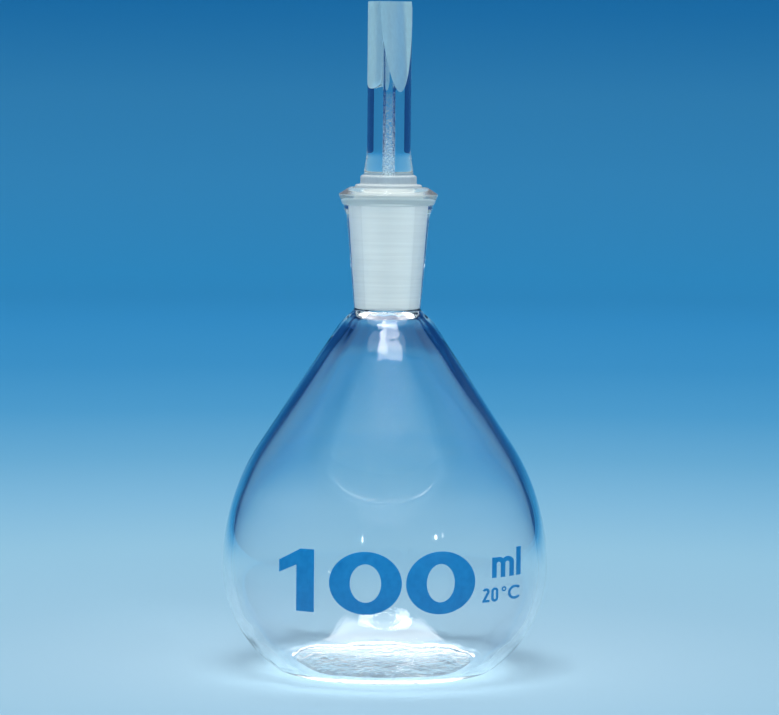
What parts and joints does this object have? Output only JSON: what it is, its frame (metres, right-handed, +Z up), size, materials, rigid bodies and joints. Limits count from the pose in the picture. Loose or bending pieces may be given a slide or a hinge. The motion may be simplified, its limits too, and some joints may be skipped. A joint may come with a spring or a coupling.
{
  "type": "density bottle with ground stopper",
  "caption": "Pear-shaped blown glass density bottle with a ground neck, a flared rim, a ground capillary stopper and a printed capacity.",
  "frame": {"origin": "on the table, under the middle of the bottle", "axes": "+Z up along the neck and the stopper; -Y towards the printed front"},
  "size_m": [0.0602, 0.0603, 0.1236],
  "materials": {
    "bottle_glass": "clear, with a finely ground socket",
    "stopper_glass": "clear, with a finely ground cone and ground flats on the stem",
    "blue_enamel": "fired enamel print, semi-gloss"
  },
  "bodies": {
    "bottle": {"bottle": "bottle_glass", "numerals_print": "blue_enamel", "unit_print": "blue_enamel", "temperature_print": "blue_enamel"},
    "stopper": {"stopper": "stopper_glass"}
  },
  "joints": [
    {"name": "stopper_lift", "type": "slide", "parent": "bottle", "child": "stopper", "axis": [0, 0, 1], "range_m": [0, 0.05]}
  ]
}
